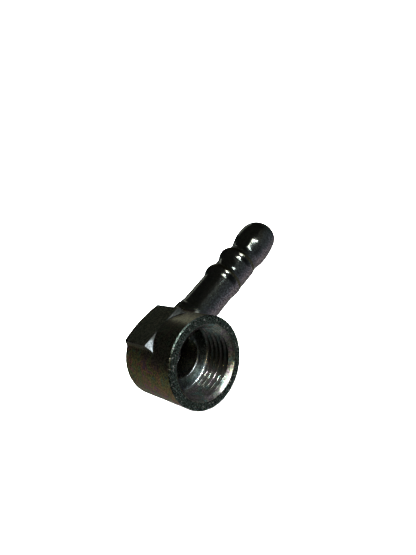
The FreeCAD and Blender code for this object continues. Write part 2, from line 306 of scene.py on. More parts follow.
def forge_block(sizes):
    """Wrench block: its section across the cup, drawn out along the cup and sloped off in front"""
    steps = 6
    sunk_side = 0.3
    sunk_foot = 0.6
    before_flat = 4.0
    past_back = 4.5
    side = sizes["block_width"] / 2
    flat = sizes["across_flats"] / 2
    foot = sizes["block_foot"]
    foot_reach = sizes["cup_diameter"] / 2 + foot
    lean = math.asin((side + foot) / foot_reach)
    foot_centre = (side + foot, foot_reach * math.cos(lean))
    curve = arc(foot_centre, foot, 270.0 - math.degrees(lean), 180.0, steps)
    sunk = (curve[0][0] - sunk_side, curve[0][1] - sunk_foot)
    quarter = [sunk] + curve + [(side, flat + sizes["flat_stock"])]
    section = quarter + [(-x, z) for x, z in reversed(quarter)]
    section += [(-x, -z) for x, z in quarter] + [(x, -z) for x, z in reversed(quarter)]
    block = bar_along_cup(
        "wrench_block", section, sizes["flat_start"] - before_flat, sizes["cup_length"] + past_back)
    bpy.ops.object.mode_set(mode="EDIT")
    for sign in (1.0, -1.0):
        bpy.ops.mesh.select_all(action="SELECT")
        bpy.ops.mesh.bisect(
            plane_co=(0.0, sizes["flat_start"], sign * flat),
            plane_no=(0.0, -math.sin(RUNOUT_ANGLE), sign * math.cos(RUNOUT_ANGLE)),
            use_fill=True, clear_outer=True)
    close_up()
    bpy.ops.object.mode_set(mode="OBJECT")
    return block


def flat_cutter(sizes, sign):
    """What is milled off above one flat; it also rounds the flat's long edges"""
    steps = 6
    slack = 0.02
    overhang = 1.5
    headroom = 3.0
    past_back = 6.0
    side = sizes["block_width"] / 2 + slack
    flat = sizes["across_flats"] / 2
    edge = sizes["block_round"]
    half = arc((side - edge, flat - edge), edge, 90.0, 0.0, steps)
    half += [(side + overhang, flat - edge), (side + overhang, flat + headroom)]
    section = [(x, sign * z) for x, z in half + [(-x, z) for x, z in reversed(half)]]
    return bar_along_cup("milled_off", section, sizes["flat_start"], sizes["cup_length"] + past_back)


def ramp_cutter(sizes, sign):
    """A low ramp from the cup's top down to one flat"""
    half_width = 4.0
    above_cup = 0.06
    past_start = 0.01
    below_flat = 0.004
    flat = sizes["across_flats"] / 2
    rise = sizes["cup_diameter"] / 2 - flat + above_cup
    end = sizes["flat_start"] + past_start
    begin = end - rise / math.tan(RAMP_ANGLE)
    outline = [(end, flat - below_flat), (begin, flat + rise), (end, flat + rise)]
    return bar("ramp", [(-half_width, y, sign * z) for y, z in outline], (2 * half_width, 0.0, 0.0))


def dome_centre(sizes):
    """Depth of the dome's centre, from its radius and the edge of the cup"""
    return sizes["cup_length"] - math.sqrt(sizes["dome_radius"] ** 2 - (sizes["cup_diameter"] / 2) ** 2)


def dome_cutter(sizes):
    """What lies behind the domed back"""
    steps = 20
    overhang = 4.0
    reach = sizes["cup_diameter"] / 2 + overhang
    lowest = math.degrees(math.acos(reach / sizes["dome_radius"]))
    curve = arc((0.0, dome_centre(sizes)), sizes["dome_radius"], 90.0, lowest, steps)
    high = sizes["cup_length"] + sizes["dome_radius"]
    return turned_about_cup("behind_dome", curve + [(reach, high), (0.0, high)], start=0.5)


def nearest_on_cup(point, sizes):
    """Distance from a point to the round cup, negative inside it, and the direction away from it"""
    radius = sizes["cup_diameter"] / 2
    slope = math.asin(radius / sizes["dome_radius"])
    centre = Vector((0.0, dome_centre(sizes)))
    side_end = Vector((radius, sizes["cup_length"] - sizes["back_chamfer"]))
    dome_end = Vector((radius - sizes["back_chamfer"] * math.cos(slope),
                       sizes["cup_length"] + sizes["back_chamfer"] * math.sin(slope)))
    here = Vector((math.hypot(point.x, point.z), point.y))
    chamfer = dome_end - side_end
    share = min(max((here - side_end).dot(chamfer) / chamfer.length_squared, 0.0), 1.0)
    from_centre = here - centre
    lowest = dome_end - centre
    on_dome = from_centre if from_centre.x / max(from_centre.y, 1e-6) < lowest.x / lowest.y else lowest
    feet = [Vector((radius, min(here.y, side_end.y))), side_end + chamfer * share,
            centre + on_dome.normalized() * sizes["dome_radius"]]
    away = min((here - foot for foot in feet), key=lambda gap: gap.length)
    inside = (here.x < radius and from_centre.length < sizes["dome_radius"]
              and (here - side_end).dot(Vector((chamfer.y, -chamfer.x))) < 0.0)
    ring = Vector((point.x, 0.0, point.z)).normalized()
    away_3d = ring * away.x + Vector((0.0, away.y, 0.0))
    return (-away.length if inside else away.length), away_3d.normalized()


def first_true(test, low, high):
    """Halves a span down to the place where a test turns true"""
    halvings = 40
    for _ in range(halvings):
        middle = (low + high) / 2
        if test(middle):
            high = middle
        else:
            low = middle
    return high


def blend_line(sizes):
    """Centres of a ball that rolls round the root while it touches both the root and the cup"""
    round_steps = 120
    knee_steps = 40
    farthest = 20.0
    smallest_angle = 0.2
    ball = sizes["root_fillet"]
    reach = sizes["root_diameter"] / 2 + ball
    depth = sizes["tail_depth"]

    def beside_root(angle, x):
        return Vector((x, depth + reach * math.cos(angle), reach * math.sin(angle)))

    def clears(point):
        return nearest_on_cup(point, sizes)[0] > ball

    knee = first_true(lambda angle: not clears(beside_root(angle, 0.0)), smallest_angle, math.pi / 2)
    centres = []
    for i in range(round_steps + 1):
        angle = knee + (2 * math.pi - 2 * knee) * i / round_steps
        x = first_true(lambda reached: clears(beside_root(angle, reached)), 0.0, farthest)
        centres.append(beside_root(angle, x))
    knee_reach = reach * math.sin(knee)
    for i in range(1, knee_steps):
        turn = -math.pi / 2 + math.pi * i / knee_steps
        centres.append(Vector((-knee_reach * math.cos(turn), depth + reach * math.cos(knee),
                               knee_reach * math.sin(turn))))
    return centres


def even_loop(points, spacing):
    """A closed loop of points, spaced evenly"""
    loop = points + points[:1]
    steps = [(b - a).length for a, b in zip(loop, loop[1:])]
    count = int(sum(steps) / spacing)
    gap = sum(steps) / count
    evened = []
    done = 0.0
    index = 0
    for i in range(count):
        while done + steps[index] < i * gap:
            done += steps[index]
            index += 1
        evened.append(loop[index].lerp(loop[index + 1], (i * gap - done) / steps[index]))
    return evened


def blend_section(centre, sizes):
    """One section of the fillet's strip: its hollow face, and a keel that lies inside the metal"""
    steps = 8
    bury = 0.02
    past_corner = 1.2
    keel = 0.3
    ball = sizes["root_fillet"]
    out = nearest_on_cup(centre, sizes)[1]
    axis = Vector((max(centre.x, 0.0), sizes["tail_depth"], 0.0))
    up = (centre - axis).normalized()
    inward = -(out + up).normalized()
    face = [centre + (-out).slerp(-up, i / steps) * ball + inward * bury for i in range(steps + 1)]
    corner = centre + inward * (ball / math.sqrt((1 + out.dot(up)) / 2)) * past_corner
    return face + [corner + inward * keel]


def closed_strip(name, sections):
    """A strip that closes on itself, through sections with the same number of points"""
    count = len(sections[0])
    faces = []
    for i in range(len(sections)):
        here = i * count
        following = (i + 1) % len(sections) * count
        for j in range(count):
            after = (j + 1) % count
            faces.append((here + j, here + after, following + after, following + j))
    mesh = bpy.data.meshes.new(name)
    mesh.from_pydata([tuple(point) for section in sections for point in section], [], faces)
    piece = bpy.data.objects.new(name, mesh)
    bpy.context.scene.collection.objects.link(piece)
    only(piece)
    bpy.ops.object.mode_set(mode="EDIT")
    close_up()
    bpy.ops.object.mode_set(mode="OBJECT")
    return piece


def forge_blend(sizes):
    """Fillet between root and cup: a strip with a hollow section, laid along the crease"""
    spacing = 0.35
    centres = even_loop(blend_line(sizes), spacing)
    return closed_strip("blend", [blend_section(centre, sizes) for centre in centres])


def root_line(sizes):
    """Outline of the knee and the root, down to the shaft: reach and radius"""
    knee_steps = 24
    root = sizes["root_diameter"] / 2
    shaft = sizes["shaft_diameter"] / 2
    return arc((0.0, 0.0), root, 180.0, 90.0, knee_steps)[:-1] + [
        (0.0, root), (14.4, root), (15.1, root - 0.05), (15.5, root - 0.27), (15.9, root - 0.31),
        (17.6, shaft + 0.02)]


def roll_knots(sizes):
    """Knots of the rolled rounds: reach, radius, shift towards RING_SIDE, radius towards RING_FRONT"""
    shaft = sizes["shaft_diameter"] / 2
    ring = sizes["ring_diameter"] / 2
    bulb = sizes["bulb_diameter"] / 2
    first_ring = [
        (28.2, shaft, 0.0, shaft),
        (29.6, shaft + 0.17, 0.05, shaft),
        (30.4, shaft + 0.42, 0.12, shaft + 0.02),
        (31.0, ring - 0.10, 0.18, shaft + 0.19),
        (31.6, ring - 0.02, 0.20, ring - 0.20),
        (32.3, ring, 0.19, ring),
        (33.4, ring - 0.20, 0.08, ring - 0.28),
        (34.2, shaft + 0.22, -0.07, shaft),
    ]
    second_ring = [
        (35.0, shaft + 0.07, -0.20, shaft + 0.02),
        (36.9, shaft + 0.07, -0.27, shaft + 0.02),
        (38.5, shaft + 0.29, -0.03, shaft + 0.02),
        (39.2, shaft + 0.47, 0.11, shaft + 0.05),
        (39.7, ring - 0.12, 0.20, shaft + 0.19),
        (40.3, ring - 0.04, 0.25, ring - 0.20),
        (41.0, ring - 0.02, 0.25, ring - 0.02),
        (42.2, ring - 0.32, 0.12, ring - 0.27),
        (43.2, shaft - 0.03, -0.12, shaft),
    ]
    neck_and_bulb = [
        (44.4, shaft - 0.25, -0.31, shaft - 0.20),
        (44.9, shaft - 0.21, -0.33, shaft - 0.18),
        (45.4, shaft - 0.12, -0.35, shaft - 0.10),
        (46.5, shaft + 0.10, -0.34, shaft + 0.125),
        (47.8, bulb - 0.32, -0.22, bulb - 0.335),
        (49.0, bulb - 0.14, -0.09, bulb - 0.14),
        (50.2, bulb - 0.035, 0.02, bulb - 0.035),
        (51.4, bulb, 0.10, bulb),
        (53.8, bulb - 0.14, 0.25, bulb - 0.14),
    ]
    round_nose = [
        (56.0, bulb - 0.54, 0.25),
        (57.5, bulb - 1.14, 0.16),
        (58.56, bulb - 1.98, 0.08),
        (59.44, bulb - 3.16, 0.03),
        (60.05, bulb - 4.5, 0.0),
    ]
    return first_ring + second_ring + neck_and_bulb + [(*knot, knot[1]) for knot in round_nose]


def bent_through(knots, count):
    """A curve that bends evenly through its knots, as a thin batten does, level at its start"""
    rounds = 100
    gaps = [b[0] - a[0] for a, b in zip(knots, knots[1:])]
    last = len(gaps)
    columns = []
    for k in range(1, len(knots[0])):
        rises = [(b[k] - a[k]) / gap for a, b, gap in zip(knots, knots[1:], gaps)]
        slopes = [0.0] * last + rises[-1:]
        for _ in range(rounds):
            for i in range(1, last):
                before, after = gaps[i - 1:i + 1]
                pull = 3 * (rises[i - 1] * after + rises[i] * before)
                slopes[i] = (pull - slopes[i - 1] * after - slopes[i + 1] * before) / 2 / (before + after)
        columns.append(slopes)
    curve = []
    for i, gap in enumerate(gaps):
        for j in range(count):
            t = j / count
            blend = 3 * t ** 2 - 2 * t ** 3
            values = [
                low + (high - low) * blend
                + gap * (slopes[i] * (t - 2 * t ** 2 + t ** 3) + slopes[i + 1] * (t ** 3 - t ** 2))
                for low, high, slopes in zip(knots[i][1:], knots[i + 1][1:], columns)]
            curve.append((knots[i][0] + gap * t, *values))
    return curve + [knots[-1]]


def press_rings(tail, curve, depth):
    """Presses the rounds of the tail off centre and out of round, as the rolls left them"""
    digits = 3
    rounds = {round(x, digits): (shift, front / radius) for x, radius, shift, front in curve}
    for vertex in tail.data.vertices:
        shift, press = rounds.get(round(vertex.co.x, digits), (0.0, 1.0))
        across = Vector((0.0, vertex.co.y - depth, vertex.co.z))
        vertex.co += RING_SIDE * shift + RING_FRONT * across.dot(RING_FRONT) * (press - 1.0)


def turn_tail(sizes):
    """Knee, root, shaft, rings and bulb, turned as one bar; the rings are then pressed off centre"""
    steps_between_knots = 6
    tip = sizes["tail_reach"]
    crown = (tip - 0.1, 1.1)
    curve = bent_through(roll_knots(sizes), steps_between_knots)
    profile = root_line(sizes) + [point[:2] for point in curve] + [crown, (tip, 0.0)]
    tail = turned_about_tail("tail", profile, sizes["tail_depth"])
    press_rings(tail, curve, sizes["tail_depth"])
    return tail


def socket_cutter(sizes):
    """Countersink, thread core, relief, seat, chamber and the drill's cone, turned as one"""
    in_front = 2.0
    off_mouth = 1e-4
    skirt = 0.1
    edge = 0.12
    corner_steps = 6
    lip_steps = 5
    sink = sizes["sink_diameter"] / 2
    core = sizes["thread_core"] / 2
    relief = sizes["relief_diameter"] / 2
    corner = sizes["relief_corner"]
    chamber = sizes["chamber_diameter"] / 2
    lip = sizes["chamber_lip"]
    seat = sizes["seat_depth"]
    cone = chamber / math.tan(DRILL_HALF_ANGLE)
    return turned_about_cup("socket", [
        (0.0, -in_front),
        (sink + skirt + edge, -in_front),
        (sink + skirt + edge, -off_mouth),
        (sink + edge * 0.4, edge * 0.25),
        (sink - edge, edge),
        (core, sink - core),
        (core, sizes["thread_end"]),
        (relief, sizes["thread_end"] + relief - core),
        (relief, seat - corner),
        *arc((relief - corner, seat - corner), corner, 0.0, 90.0, corner_steps)[1:],
        *arc((chamber + lip, seat + lip), lip, 270.0, 180.0, lip_steps),
        (chamber, sizes["tail_depth"]),
        (0.0, sizes["tail_depth"] + cone),
    ])


def thread_section(sizes):
    """Section of the thread's groove as pairs of radius and depth, with round root and crests"""
    root_steps = 3
    crest_steps = 4
    past_crest = 8.0
    inwards = 0.5
    core = sizes["thread_core"] / 2
    major = sizes["thread_major"] / 2
    pitch = sizes["thread_pitch"]
    sharp_depth = pitch / 2 / math.tan(THREAD_FLANK)
    rounding = (sharp_depth - (major - core)) / 2 / (1 / math.sin(THREAD_FLANK) - 1)
    tangent = 90.0 - math.degrees(THREAD_FLANK)
    root = arc((major - rounding, 0.0), rounding, 0.0, tangent, root_steps)
    crest_centre = (core + rounding, pitch / 2)
    crest = arc(crest_centre, rounding, 180.0 + tangent, 180.0 + past_crest, crest_steps)
    half = root + crest + [(core - inwards, crest[-1][1])]
    return [(r, -y) for r, y in reversed(half)] + half[1:]


def wind(groove, pitch, turns):
    """Winds a section up along the cup's axis"""
    only(groove)
    screw = groove.modifiers.new(name="wind", type="SCREW")
    screw.axis = "Y"
    screw.angle = 2 * math.pi
    screw.screw_offset = pitch
    screw.iterations = turns
    screw.steps = THREAD_STEPS
    screw.render_steps = THREAD_STEPS
    screw.use_merge_vertices = False
    bpy.ops.object.modifier_apply(modifier="wind")


def cap_ends():
    """Fills the open ends of a wound section, in edit mode"""
    bpy.ops.mesh.select_all(action="DESELECT")
    bpy.ops.mesh.select_mode(type="VERT")
    bpy.ops.mesh.select_non_manifold()
    bpy.ops.mesh.edge_face_add()
    bpy.ops.mesh.select_all(action="DESELECT")
    bpy.ops.mesh.select_non_manifold()
    bpy.ops.mesh.fill_holes(sides=0)
    close_up(FINE_MERGE)


def thread_cutter(sizes):
    """The groove of the thread: its section wound up from before the mouth to the relief"""
    start = -1.6
    turns = 8
    into_relief = 0.005
    section = thread_section(sizes)
    groove = extruded_line("groove", [(r, start + y, 0.0) for r, y in section + section[:1]])
    edit_all()
    bpy.ops.mesh.remove_doubles(threshold=FINE_MERGE)
    bpy.ops.object.mode_set(mode="OBJECT")
    wind(groove, sizes["thread_pitch"], turns)
    bpy.ops.object.mode_set(mode="EDIT")
    cap_ends()
    end = sizes["thread_end"] + (sizes["relief_diameter"] - sizes["thread_core"]) / 2 + into_relief
    bpy.ops.mesh.bisect(
        plane_co=(0.0, end, 0.0), plane_no=(0.0, 1.0, 0.0), use_fill=True, clear_outer=True)
    close_up(FINE_MERGE)
    bpy.ops.object.mode_set(mode="OBJECT")
    return groove


def bore_cutter(sizes):
    """Bore of the tail with the chamfered lip in the nose"""
    past_tip = 3.0
    bore = sizes["tail_bore"] / 2
    sink = sizes["lip_sink"]
    nose = sizes["bulb_diameter"] / 2
    lip = bore + sink
    lip_end = sizes["tail_reach"] - nose + math.sqrt(nose ** 2 - lip ** 2)
    return turned_about_tail("bore", [
        (0.0, 0.0),
        (0.0, bore),
        (lip_end - sink, bore),
        (lip_end + past_tip, lip + past_tip),
        (lip_end + past_tip, 0.0),
    ], sizes["tail_depth"], steps=BORE_STEPS)


def bring_to_metres(piece):
    """Scales the finished mesh to metres and sets its shading"""
    only(piece)
    bpy.ops.object.mode_set(mode="EDIT")
    close_up(2 * MERGE)
    bpy.ops.mesh.dissolve_degenerate(threshold=MERGE)
    bpy.ops.object.mode_set(mode="OBJECT")
    piece.scale = (MM, MM, MM)
    bpy.ops.object.transform_apply(location=True, rotation=True, scale=True)
    bpy.ops.object.shade_smooth_by_angle(angle=SMOOTH_ANGLE)


class ELBOW_OT_fitting(bpy.types.Operator):
    """Make the elbow: forge the cup, block, knee and root, turn the tail, then drill and thread it"""

    bl_idname = "elbow.fitting"
    bl_label = "Make Elbow"

    def execute(self, context):
        sizes = sizes_in_mm()
        elbow = forge_cup(sizes)
        combine(elbow, forge_block(sizes), "UNION")
        for sign in (1.0, -1.0):
            combine(elbow, flat_cutter(sizes, sign), "DIFFERENCE")
            combine(elbow, ramp_cutter(sizes, sign), "DIFFERENCE")
        combine(elbow, dome_cutter(sizes), "DIFFERENCE")
        combine(elbow, turn_tail(sizes), "UNION")
        combine(elbow, forge_blend(sizes), "UNION")
        combine(elbow, socket_cutter(sizes), "DIFFERENCE")
        combine(elbow, thread_cutter(sizes), "DIFFERENCE")
        combine(elbow, bore_cutter(sizes), "DIFFERENCE")
        bring_to_metres(elbow)
        elbow.data.materials.clear()
        elbow.data.materials.append(plated_steel(sizes, opaque_colours()))
        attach(elbow, "root")
        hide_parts(NODE)
        return {"FINISHED"}


# Nodes
def node(tree, kind, inputs=None, **settings):
    """Adds a node with its settings; each input is given a value or linked to a socket"""
    made = tree.nodes.new(kind)
    for name, value in settings.items():
        setattr(made, name, value)
    for key, value in (inputs or {}).items():
        if isinstance(value, bpy.types.NodeSocket):
            tree.links.new(value, made.inputs[key])
        else:
            made.inputs[key].default_value = value
    return made


def calc(tree, operation, *values):
    """A Math node's result"""
    return node(tree, "ShaderNodeMath", dict(enumerate(values)), operation=operation).outputs[0]


def times(tree, first, second):
    """Product of two values"""
    return calc(tree, "MULTIPLY", first, second)


def plus(tree, first, second):
    """Sum of two values"""
    return calc(tree, "ADD", first, second)


def minus(tree, first, second):
    """Difference of two values"""
    return calc(tree, "SUBTRACT", first, second)


def times_plus(tree, value, factor, added):
    """A value times a factor, plus another value"""
    return calc(tree, "MULTIPLY_ADD", value, factor, added)


def centred(tree, value, width):
    """A value between 0 and 1, widened and centred on 0"""
    return times_plus(tree, value, width, -width / 2)


def ease(tree, value, low, high, start=0.0, end=1.0):
    """Eases a value from start to end while it goes from low to high"""
    made = node(tree, "ShaderNodeMapRange", {0: value, 1: low, 2: high, 3: start, 4: end},
                interpolation_type="SMOOTHSTEP")
    return made.outputs[0]


def mix(tree, factor, first, second, blend="MIX"):
    """A mix of two colours"""
    made = node(tree, "ShaderNodeMix", {0: factor, 6: first, 7: second},
                data_type="RGBA", blend_type=blend)
    return made.outputs[2]


def dimmed(tree, tone, shade):
    """A colour times a grey shade"""
    grey = node(tree, "ShaderNodeCombineColor", {0: shade, 1: shade, 2: shade}).outputs[0]
    return mix(tree, 1.0, tone, grey, "MULTIPLY")


def ramp(tree, value, stops):
    """A colour ramp with stops of position and colour"""
    made = node(tree, "ShaderNodeValToRGB", {0: value})
    elements = made.color_ramp.elements
    elements.remove(elements[1])
    elements[0].position, elements[0].color = stops[0]
    for position, tone in stops[1:]:
        elements.new(position).color = tone
    return made.outputs[0]


def noise(tree, place, size, detail=2.0, roughness=0.5, distortion=0.0):
    """Noise with features of a size in millimetres"""
    made = node(tree, "ShaderNodeTexNoise", {
        "Vector": place, "Scale": 1.0 / size, "Detail": detail, "Roughness": roughness,
        "Distortion": distortion})
    return made.outputs["Fac"]


# Plating: sizes of its patches, of its specks and of the worn spots, in millimetres
PATCH_SIZE = 3.2
SPECK_SIZE = 0.42
WORN_SIZE = 0.8

# Height of the grain, in metres as the finished mesh is
GRAIN_HEIGHT = 0.03 * MM

# Tint at grazing angles, where plain metal would turn white
GRAZING_TINT = (0.5, 0.5, 0.5, 1.0)


class Surface:
    """A material's nodes with the coordinates, in millimetres, and the noises that its zones share"""

    def __init__(self, tree):
        self.tree = tree
        coordinates = tree.nodes.new("ShaderNodeTexCoord").outputs["Object"]
        scaled = node(tree, "ShaderNodeVectorMath", {0: coordinates, 3: 1.0 / MM}, operation="SCALE")
        self.place = scaled.outputs[0]
        self.x, self.y, self.z = node(tree, "ShaderNodeSeparateXYZ", {0: self.place}).outputs
        self.height = calc(tree, "ABSOLUTE", self.z)
        squares = plus(tree, times(tree, self.x, self.x), times(tree, self.z, self.z))
        self.radius = calc(tree, "SQRT", squares)
        self.blotches = noise(tree, self.place, PATCH_SIZE, 4.0, 0.62, 1.2)
        self.speckle = noise(tree, self.place, SPECK_SIZE, 2.0, 0.6)
        self.drift = centred(tree, self.blotches, 6.0)


def cup_zones(at, sizes):
    """Masks of the cup's inside, of the seat and all behind the thread, and of the rim"""
    tree = at.tree
    sink = sizes["sink_diameter"] / 2
    rim_end = sizes["rim_chamfer"]
    chamber_end = sizes["tail_depth"] + 0.5
    inside = times(tree, ease(tree, at.radius, sink - 0.05, sink + 0.1, 1.0, 0.0),
                   ease(tree, at.y, chamber_end, chamber_end + 0.3, 1.0, 0.0))
    seat = ease(tree, at.y, sizes["thread_end"] - 0.1, sizes["thread_end"] + 0.7)
    rim = times(tree, ease(tree, at.y, rim_end - 0.05, rim_end + 0.2, 1.0, 0.0),
                ease(tree, at.radius, sink - 0.05, sink + 0.1))
    return inside, seat, rim


def block_zones(at, sizes):
    """Masks of the wrench flats and of the run-outs in front of them"""
    tree = at.tree
    flat = sizes["across_flats"] / 2
    start = sizes["flat_start"]
    begin = start - 2.85
    flats = times(tree, ease(tree, at.height, flat - 0.3, flat - 0.15),
                  ease(tree, at.y, start - 0.05, start + 0.15))
    above = times(tree, minus(tree, at.height, flat), math.cos(RUNOUT_ANGLE))
    ahead = times(tree, minus(tree, at.y, start), math.sin(RUNOUT_ANGLE))
    off_plane = calc(tree, "ABSOLUTE", minus(tree, above, ahead))
    runouts = times(tree, ease(tree, off_plane, 0.03, 0.10, 1.0, 0.0),
                    ease(tree, at.y, begin, begin + 0.3))
    runouts = times(tree, runouts, ease(tree, at.y, start + 0.05, start + 0.15, 1.0, 0.0))
    return flats, runouts


def cup_colour(at, tones):
    """Khaki plating with teal, copper and purple patches, darkened on top as painted shade, and paler on
    the cup's upper front towards the tail as a painted highlight
    """
    tree = at.tree
    patches = ramp(tree, at.blotches, [
        (0.30, tones["teal"]),
        (0.39, tones["olive"]),
        (0.50, tones["khaki"]),
        (0.57, tones["copper"]),
        (0.64, tones["purple"]),
    ])
    # Painted shade: the cup's top is darkened with these colours, more the higher up
    dark = ramp(tree, at.blotches, [(0.35, tones["top_green"]), (0.65, tones["top_brown"])])
    upward = times_plus(tree, at.y, -0.17, at.z)
    painted_top_shade = ease(tree, plus(tree, upward, at.drift), 5.0, 9.6)
    # Painted highlight: the cup's upper front towards the tail is paled here
    towards_mouth = ease(tree, at.y, 8.6, 7.4, 0.0, 1.0)
    shoulder = times(tree, ease(tree, at.x, 1.0, 3.5), towards_mouth)
    shoulder = times(tree, shoulder, ease(tree, at.z, 8.0, 11.0))
    return mix(tree, shoulder, mix(tree, painted_top_shade, patches, dark), tones["shoulder"])


def tail_colour(at, tones):
    """Bluish grey tail, warmer and paler below as painted reflection, darker at the side and top as
    painted shade, with a band of painted shade behind each ring
    """
    tree = at.tree
    # Painted shade: a dark band along each ring's back flank
    behind_rings = (32.8, 41.5)
    painted_shade_bands = [
        ease(tree, calc(tree, "ABSOLUTE", minus(tree, at.x, reach)), 0.25, 0.9, 0.8, 0.0)
        for reach in behind_rings]
    # Painted reflection and shade: the colour goes by height round the tail, paler and warmer below
    turn = plus(tree, calc(tree, "DIVIDE", at.z, 6.0), centred(tree, at.blotches, 1.2))
    shaft = ramp(tree, ease(tree, turn, -0.6, 0.9), [
        (0.0, tones["tail_bottom"]),
        (0.28, tones["tail_low"]),
        (0.5, tones["tail_middle"]),
        (0.8, tones["tail_high"]),
        (1.0, tones["tail_top"]),
    ])
    return mix(tree, calc(tree, "MAXIMUM", *painted_shade_bands), shaft, tones["ring_back"])


def runout_colour(at, tones):
    """Run-outs in three tones from left to right: a painted highlight on the left, painted shade towards
    the right
    """
    tree = at.tree
    # Painted highlight on the left, painted shade in the middle and on the right
    right = mix(tree, ease(tree, at.x, 4.6, 6.4), tones["facet_middle"], tones["facet_right"])
    return mix(tree, ease(tree, at.x, -6.0, -4.3), tones["facet_left"], right)


def rim_colour(at, tones):
    """Speckled rim, worn through to bare metal in places"""
    tree = at.tree
    specks = mix(tree, ease(tree, at.speckle, 0.42, 0.62), tones["rim_dark"], tones["rim_light"])
    worn = ease(tree, noise(tree, at.place, WORN_SIZE, 2.0, 0.6), 0.60, 0.68)
    return mix(tree, worn, specks, tones["rim_worn"])


def inside_colour(at, seat, tones):
    """Thread with patches and a pale seat, with painted shade across the cup and a painted highlight low
    in the countersink
    """
    tree = at.tree
    patches = ramp(tree, at.blotches, [
        (0.38, tones["thread_teal"]),
        (0.50, tones["thread_olive"]),
        (0.60, tones["thread_mauve"]),
    ])
    tone = mix(tree, seat, patches, tones["seat"])
    # Painted highlight low in the countersink
    low_side = plus(tree, times(tree, at.x, 0.29), times(tree, at.z, -0.96))
    in_sink = ease(tree, at.y, 1.1, 1.6, 1.0, 0.1)
    painted_highlight = times(tree, ease(tree, low_side, 9.1, 9.9, 0.0, 3.0), in_sink)
    # Painted shade across the inside, with the painted highlight added to it
    across = ease(tree, minus(tree, at.x, at.z), -8.0, 3.0, 0.4, 0.9)
    return dimmed(tree, tone, plus(tree, across, painted_highlight))


def plating_roughness(at, tail, inside, seat, flats):
    """Satin on the cup, smoother on the tail and in the thread, duller on the flats"""
    tree = at.tree
    on_cup = 0.36
    on_tail = 0.125
    thread_less = 0.17
    seat_more = 0.08
    flats_more = 0.2
    outside = times_plus(tree, tail, on_tail - on_cup, on_cup)
    thread = ease(tree, at.y, 1.1, 1.4, 0.0, -thread_less)
    change_inside = times_plus(tree, seat, seat_more, thread)
    with_inside = times_plus(tree, inside, change_inside, outside)
    return times_plus(tree, flats, flats_more, with_inside)


def plating_bump(at, tail, inside, rim, runouts):
    """Fine grain, strongest on the rim and the run-outs, and polished away towards the tail's end"""
    tree = at.tree
    on_cup = 0.25
    rim_more = 0.6
    root_share = 0.5
    polished_share = 0.04
    inside_share = 0.4
    coarse = calc(tree, "MAXIMUM", rim, times(tree, tail, root_share))
    strength = times_plus(tree, coarse, rim_more, on_cup)
    strength = times(tree, strength, ease(tree, at.x, 18.0, 27.5, 1.0, polished_share))
    strength = times(tree, strength, ease(tree, inside, 0.0, 1.0, 1.0, inside_share))
    strength = plus(tree, runouts, strength)
    bump = node(tree, "ShaderNodeBump", {
        "Strength": strength, "Distance": GRAIN_HEIGHT, "Height": at.speckle})
    return bump.outputs[0]


def plated_steel(sizes, tones):
    """Zinc plating with a dark chromate: satin outside, finely grained, polished towards the tail's end"""
    material = bpy.data.materials.new("plated_steel")
    material.use_nodes = True
    tree = material.node_tree
    at = Surface(tree)
    inside, seat, rim = cup_zones(at, sizes)
    flats, runouts = block_zones(at, sizes)
    tail = ease(tree, plus(tree, at.x, at.drift), 9.8, 14.0)
    # The cup, tail, run-out and inside colours carry painted shade and painted highlights
    tone = mix(tree, tail, cup_colour(at, tones), tail_colour(at, tones))
    tone = mix(tree, flats, tone, tones["flat"])
    tone = mix(tree, runouts, tone, runout_colour(at, tones))
    tone = mix(tree, rim, tone, rim_colour(at, tones))
    tone = mix(tree, inside, tone, inside_colour(at, seat, tones))
    grain = ease(tree, at.speckle, 0.37, 0.63, 0.55, 1.45)
    shader = tree.nodes["Principled BSDF"]
    shader.inputs["Metallic"].default_value = 1.0
    shader.inputs["Specular Tint"].default_value = GRAZING_TINT
    tree.links.new(dimmed(tree, tone, grain), shader.inputs["Base Color"])
    tree.links.new(plating_roughness(at, tail, inside, seat, flats), shader.inputs["Roughness"])
    tree.links.new(plating_bump(at, tail, inside, rim, runouts), shader.inputs["Normal"])
    return material


# Stage
# Camera of the photograph, in metres: place, and its right, up and back directions
CAMERA_PLACE = (-0.04386, -0.08845, 0.07384)
CAMERA_RIGHT = (0.57098, -0.67515, -0.46708)
CAMERA_UP = (0.65978, 0.03881, 0.75045)
CAMERA_BACK = (-0.48854, -0.73666, 0.46761)
CAMERA_LENS = 29.19
CAMERA_SENSOR = 36.0
CAMERA_NEAR = 0.005

# Level direction from the fitting towards the camera, where the mirrored room is darkest
CAMERA_SIDE = (-0.45, -0.89, 0.0)

# Lights: name, place, point that it looks at, width, height, watts and colour
MIDDLE = (0.025, 0.01, 0.0)
MOUTH = (0.0, 0.0, 0.0)
WHITE = (1.0, 1.0, 1.0)
LIGHTS = (
    ("overhead", (0.0, 0.0, 0.9), MOUTH, 1.2, 1.2, 70.0, WHITE),
    ("key", (0.228, -0.385, 0.385), MIDDLE, 0.06, 0.32, 1.05, WHITE),
    ("fill", (0.213, -0.400, 0.395), MIDDLE, 0.03, 0.10, 0.13, (0.7, 0.88, 1.0)),
    ("low", (0.02, -0.43, 0.435), MOUTH, 0.11, 0.15, 3.4, WHITE),
    ("front", (0.33, -0.44, 0.18), MIDDLE, 0.6, 0.4, 0.08, WHITE),
    ("behind", (0.40, 0.45, 0.16), MIDDLE, 0.25, 0.15, 0.12, WHITE),
    ("spark", (-0.27, -0.45, 0.30), MIDDLE, 0.02, 0.02, 0.4, (1.0, 0.72, 0.36)),
)


